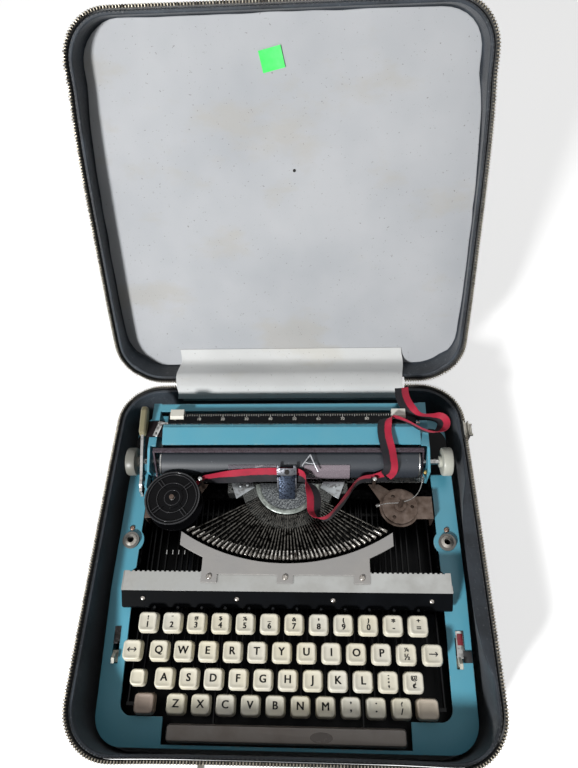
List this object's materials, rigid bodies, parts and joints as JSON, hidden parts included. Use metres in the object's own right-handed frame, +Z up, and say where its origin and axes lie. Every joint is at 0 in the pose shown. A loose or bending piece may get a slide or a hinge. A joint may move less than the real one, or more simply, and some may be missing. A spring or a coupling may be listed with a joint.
{
  "type": "zip-round portable typewriter case",
  "caption": "Zip-round soft case with a fabric-hinged lid and carrying handle, holding a slim portable typewriter with keys, type basket, ribbon drive and carriage.",
  "frame": {"origin": "centre of the case's underside", "axes": "+X to the right of the keyboard, +Y from the keyboard towards the lid's hinge, +Z up; the lid stands open at rest"},
  "size_m": [0.3221, 0.4873, 0.3382],
  "materials": {
    "case_vinyl": "padded vinyl with a fine grain, charcoal with a grey-blue sheen",
    "handle_vinyl": "wrapped vinyl, charcoal",
    "case_lining": "smooth cloth-faced board, pale grey, lightly stained",
    "zip_tape": "woven black tape",
    "zip_metal": "pale brass teeth, dulled",
    "case_hardware": "plated, dulled",
    "body_paint": "satin hammered enamel, teal blue",
    "black_paint": "satin black enamel",
    "shield_paint": "matt warm grey enamel",
    "frame_steel": "zinc-plated, dulled",
    "bright_steel": "bright plated steel",
    "bail_steel": "thin plated strip, worn",
    "hub_steel": "bare steel with rust",
    "trim_aluminium": "brushed along its length",
    "black_rubber": "moulded, dull",
    "platen_rubber": "ground rubber, dark slate",
    "key_plastic": "moulded, cream",
    "space_plastic": "moulded, warm grey",
    "knob_plastic": "moulded, grey cream",
    "grip_plastic": "moulded, olive beige",
    "stop_plastic": "moulded, white",
    "spool_plastic": "moulded, black",
    "ribbon_fabric": "inked woven ribbon, one half black and one half red",
    "clear_plastic": "clear sheet, slightly pink"
  },
  "bodies": {
    "case_base": {"base_shell": "case_vinyl", "base_board": "case_lining", "base_zip_tape": "zip_tape", "base_zip_teeth": "zip_metal", "hinge_spine": "zip_tape", "hinge_lining": "case_lining", "handle_mounts": "case_hardware", "body_shell": "body_paint", "cover_grommets": "black_rubber", "base_plate": "frame_steel", "rubber_feet": "black_rubber", "side_frames": "frame_steel", "trim_bar": "trim_aluminium", "lever_cover": "black_paint", "lever_comb": "frame_steel", "lever_rod": "bright_steel", "trim_screws": "bright_steel", "type_shield": "shield_paint", "typebar_rest": "frame_steel", "segment": "bright_steel", "typebars": "bright_steel", "ribbon_brackets": "frame_steel", "ribbon_front": "ribbon_fabric", "carriage_rail": "frame_steel"},
    "lid": {"lid_shell": "case_vinyl", "lid_board": "case_lining", "lid_zip_tape": "zip_tape", "lid_zip_teeth": "zip_metal"},
    "zip_slider": {"zip_slider": "case_hardware"},
    "zip_pull": {"zip_pull": "case_hardware"},
    "carry_handle": {"carry_handle": "handle_vinyl"},
    "carriage": {"carriage_frame": "bright_steel", "carriage_ends": "body_paint", "paper_table": "body_paint", "margin_scale": "black_paint", "card_holders": "clear_plastic", "ribbon_back": "ribbon_fabric"},
    "platen": {"platen": "platen_rubber", "platen_shaft": "bright_steel", "platen_knobs": "knob_plastic"},
    "paper_bail": {"paper_bail": "bail_steel"},
    "return_lever": {"return_lever": "bright_steel", "lever_grip": "grip_plastic"},
    "left_margin_stop": {"left_margin_stop": "stop_plastic"},
    "right_margin_stop": {"right_margin_stop": "stop_plastic"},
    "ribbon_spool": {"ribbon_spool": "spool_plastic", "left_hub": "frame_steel"},
    "right_hub": {"right_hub": "hub_steel"},
    "number_keys": {"number_keys": "key_plastic"},
    "top_letter_keys": {"top_letter_keys": "key_plastic"},
    "home_letter_keys": {"home_letter_keys": "key_plastic"},
    "bottom_letter_keys": {"bottom_letter_keys": "key_plastic"},
    "margin_release_key": {"margin_release_key": "key_plastic"},
    "back_space_key": {"back_space_key": "key_plastic"},
    "shift_lock_key": {"shift_lock_key": "key_plastic"},
    "shift_keys": {"shift_keys": "key_plastic"},
    "space_bar": {"space_bar": "space_plastic"},
    "touch_lever": {"touch_lever": "knob_plastic"},
    "colour_lever": {"colour_lever": "knob_plastic"},
    "ribbon_vibrator": {"ribbon_vibrator": "bright_steel"}
  },
  "joints": [
    {"name": "lid_hinge", "type": "hinge", "parent": "case_base", "child": "lid", "pos_m": [0, 0.1535, 0.07], "axis": [1, 0, 0], "range_deg": [0, 118.83], "deforming": ["hinge_spine", "hinge_lining"]},
    {"name": "zip_travel", "type": "slide", "parent": "case_base", "child": "zip_slider", "axis": [0, -1, 0], "range_m": [0, 0.208]},
    {"name": "pull_swing", "type": "hinge", "parent": "zip_slider", "child": "zip_pull", "pos_m": [0.1616, 0.104, 0.07], "axis": [0, -1, 0], "range_deg": [0, 150]},
    {"name": "handle_swing", "type": "hinge", "parent": "case_base", "child": "carry_handle", "pos_m": [0, -0.1583, 0.044], "axis": [-1, 0, 0], "range_deg": [0, 150]},
    {"name": "carriage_slide", "type": "slide", "parent": "case_base", "child": "carriage", "axis": [1, 0, 0], "range_m": [-0.006, 0.006]},
    {"name": "platen_turn", "type": "hinge", "parent": "carriage", "child": "platen", "pos_m": [0, 0.076, 0.064], "axis": [1, 0, 0], "continuous": true},
    {"name": "bail_lift", "type": "hinge", "parent": "carriage", "child": "paper_bail", "pos_m": [0, 0.066, 0.058], "axis": [1, 0, 0], "range_deg": [0, 50], "deforming": ["ribbon_back"]},
    {"name": "lever_fold", "type": "hinge", "parent": "carriage", "child": "return_lever", "pos_m": [-0.128, 0.056, 0.062], "axis": [-1, 0, 0], "range_deg": [-70, 0]},
    {"name": "left_stop_travel", "type": "slide", "parent": "carriage", "child": "left_margin_stop", "axis": [1, 0, 0], "range_m": [0, 0.08]},
    {"name": "right_stop_travel", "type": "slide", "parent": "carriage", "child": "right_margin_stop", "axis": [1, 0, 0], "range_m": [-0.08, 0]},
    {"name": "spool_turn", "type": "hinge", "parent": "case_base", "child": "ribbon_spool", "pos_m": [-0.0965, 0.038, 0.06], "axis": [0, 0, 1], "continuous": true},
    {"name": "hub_turn", "type": "hinge", "parent": "case_base", "child": "right_hub", "pos_m": [0.0965, 0.038, 0.055], "axis": [0, 0, 1], "continuous": true},
    {"name": "number_keys_press", "type": "hinge", "parent": "case_base", "child": "number_keys", "pos_m": [0, 0.055, 0.0276], "axis": [1, 0, 0], "range_deg": [0, 3.2], "stiffness_Nm_per_rad": 0.6, "springref_deg": -14.32},
    {"name": "top_letter_keys_press", "type": "hinge", "parent": "case_base", "child": "top_letter_keys", "pos_m": [0, 0.055, 0.0276], "axis": [1, 0, 0], "range_deg": [0, 3.2], "stiffness_Nm_per_rad": 0.6, "springref_deg": -14.32},
    {"name": "home_letter_keys_press", "type": "hinge", "parent": "case_base", "child": "home_letter_keys", "pos_m": [0, 0.055, 0.0276], "axis": [1, 0, 0], "range_deg": [0, 3.2], "stiffness_Nm_per_rad": 0.6, "springref_deg": -14.32},
    {"name": "bottom_letter_keys_press", "type": "hinge", "parent": "case_base", "child": "bottom_letter_keys", "pos_m": [0, 0.055, 0.0276], "axis": [1, 0, 0], "range_deg": [0, 3.2], "stiffness_Nm_per_rad": 0.6, "springref_deg": -14.32},
    {"name": "margin_release_key_press", "type": "hinge", "parent": "case_base", "child": "margin_release_key", "pos_m": [0, 0.055, 0.0276], "axis": [1, 0, 0], "range_deg": [0, 3.2], "stiffness_Nm_per_rad": 0.15, "springref_deg": -14.32},
    {"name": "back_space_key_press", "type": "hinge", "parent": "case_base", "child": "back_space_key", "pos_m": [0, 0.055, 0.0276], "axis": [1, 0, 0], "range_deg": [0, 3.2], "stiffness_Nm_per_rad": 0.15, "springref_deg": -14.32},
    {"name": "shift_lock_key_press", "type": "hinge", "parent": "case_base", "child": "shift_lock_key", "pos_m": [0, 0.055, 0.0276], "axis": [1, 0, 0], "range_deg": [0, 3.2], "stiffness_Nm_per_rad": 0.15, "springref_deg": -14.32},
    {"name": "shift_keys_press", "type": "hinge", "parent": "case_base", "child": "shift_keys", "pos_m": [0, 0.055, 0.0276], "axis": [1, 0, 0], "range_deg": [0, 3.2], "stiffness_Nm_per_rad": 0.4, "springref_deg": -14.32},
    {"name": "space_bar_press", "type": "hinge", "parent": "case_base", "child": "space_bar", "pos_m": [0, 0.055, 0.0276], "axis": [1, 0, 0], "range_deg": [0, 3.2], "stiffness_Nm_per_rad": 0.5, "springref_deg": -14.32},
    {"name": "touch_travel", "type": "slide", "parent": "case_base", "child": "touch_lever", "axis": [0, 0.9901, 0.1402], "range_m": [0, 0.012]},
    {"name": "colour_travel", "type": "slide", "parent": "case_base", "child": "colour_lever", "axis": [0, 0.9901, 0.1402], "range_m": [0, 0.012]},
    {"name": "vibrator_lift", "type": "slide", "parent": "case_base", "child": "ribbon_vibrator", "axis": [0, 0, 1], "range_m": [0, 0.006], "deforming": ["ribbon_front"]}
  ]
}
